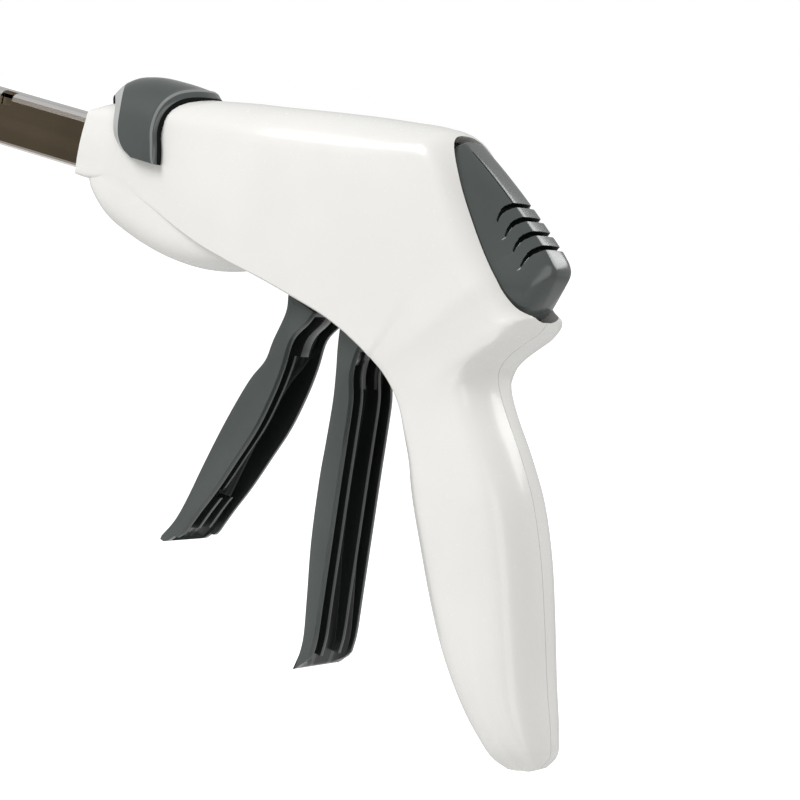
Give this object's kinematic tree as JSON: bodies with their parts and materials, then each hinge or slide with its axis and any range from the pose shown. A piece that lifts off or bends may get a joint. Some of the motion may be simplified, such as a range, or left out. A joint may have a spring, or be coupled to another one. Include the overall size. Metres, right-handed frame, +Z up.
{
  "type": "curved cutter stapler",
  "caption": "Pistol-grip surgical stapler with a flat steel shaft, a curved open jaw, closing and firing triggers, a thumb slide and a release button.",
  "frame": {"origin": "where the palm holds the middle of the grip, on the parting plane", "axes": "+X from the jaw towards the user along the shaft, +Z up, -Y to the left of the object, the side that the picture shows"},
  "size_m": [0.3552, 0.035, 0.1586],
  "materials": {
    "white_plastic": "smooth satin",
    "grey_plastic": "smooth, slightly glossy",
    "polished_steel": "polished",
    "stamped_steel": "stamped, dull",
    "cartridge_plastic": "satin",
    "washer_plastic": "satin"
  },
  "bodies": {
    "housing": {"left_shroud": "white_plastic", "right_shroud": "white_plastic", "left_frame_plate": "polished_steel", "right_frame_plate": "polished_steel", "head_rivet_1": "polished_steel", "head_rivet_2": "polished_steel", "jaw_frame": "polished_steel", "anvil": "polished_steel", "cutting_washer": "washer_plastic", "trigger_pivot_pin": "polished_steel", "front_frame_pin": "polished_steel", "rear_frame_pin": "polished_steel", "button_pivot_pin": "polished_steel", "closure_return_spring": "polished_steel", "firing_return_spring": "polished_steel", "button_spring": "polished_steel"},
    "closure_trigger_body": {"closure_trigger": "grey_plastic", "left_closure_lever": "stamped_steel", "right_closure_lever": "stamped_steel", "left_link_pin": "polished_steel", "right_link_pin": "polished_steel"},
    "closure_link_body": {"left_closure_link": "stamped_steel", "right_closure_link": "stamped_steel"},
    "closure_slide_body": {"closure_channel": "polished_steel", "closure_collar": "stamped_steel", "cartridge_housing": "cartridge_plastic"},
    "firing_trigger_body": {"firing_trigger": "grey_plastic", "firing_lever": "stamped_steel", "drive_pin": "polished_steel"},
    "firing_slide_body": {"firing_bar": "polished_steel", "left_bar_cheek": "stamped_steel", "right_bar_cheek": "stamped_steel", "cheek_rivet": "polished_steel", "knife_holder": "stamped_steel", "staple_driver": "washer_plastic", "knife": "polished_steel"},
    "pin_slide_body": {"saddle_slide": "grey_plastic", "slide_yoke": "stamped_steel", "push_rod": "polished_steel", "pin_carrier": "stamped_steel", "guide_pin": "polished_steel"},
    "button_body": {"release_button": "grey_plastic", "release_latch": "stamped_steel"}
  },
  "joints": [
    {"name": "closure_trigger_hinge", "type": "hinge", "parent": "housing", "child": "closure_trigger_body", "pos_m": [-0.058, 0, 0.06], "axis": [0, -1, 0], "range_deg": [0, 17], "stiffness_Nm_per_rad": 0.6},
    {"name": "closure_link_hinge", "type": "hinge", "parent": "closure_trigger_body", "child": "closure_link_body", "pos_m": [-0.05401, 0, 0.0867], "axis": [0, -1, 0], "range_deg": [-17.1, 0]},
    {"name": "closure_slide", "type": "slide", "parent": "housing", "child": "closure_slide_body", "axis": [-1, 0, 0], "range_m": [0, 0.008]},
    {"name": "firing_trigger_hinge", "type": "hinge", "parent": "closure_trigger_body", "child": "firing_trigger_body", "pos_m": [-0.058, 0, 0.06], "axis": [0, -1, 0], "range_deg": [0, 24], "stiffness_Nm_per_rad": 0.6},
    {"name": "firing_slide", "type": "slide", "parent": "closure_slide_body", "child": "firing_slide_body", "axis": [-1, 0, 0], "range_m": [0, 0.01088]},
    {"name": "pin_slide", "type": "slide", "parent": "housing", "child": "pin_slide_body", "axis": [-1, 0, 0], "range_m": [0, 0.0134]},
    {"name": "button_hinge", "type": "hinge", "parent": "housing", "child": "button_body", "pos_m": [-0.03475, 0, 0.0897], "axis": [0, 1, 0], "range_deg": [0, 4], "stiffness_Nm_per_rad": 2, "deforming": ["button_spring"]}
  ],
  "couplings": [
    {"joint": "closure_link_hinge", "follows": "closure_trigger_hinge", "ratio": -1},
    {"joint": "closure_slide", "follows": "closure_trigger_hinge", "m_per_rad": 0.026901},
    {"joint": "firing_slide", "follows": "firing_trigger_hinge", "m_per_rad": 0.025929}
  ]
}
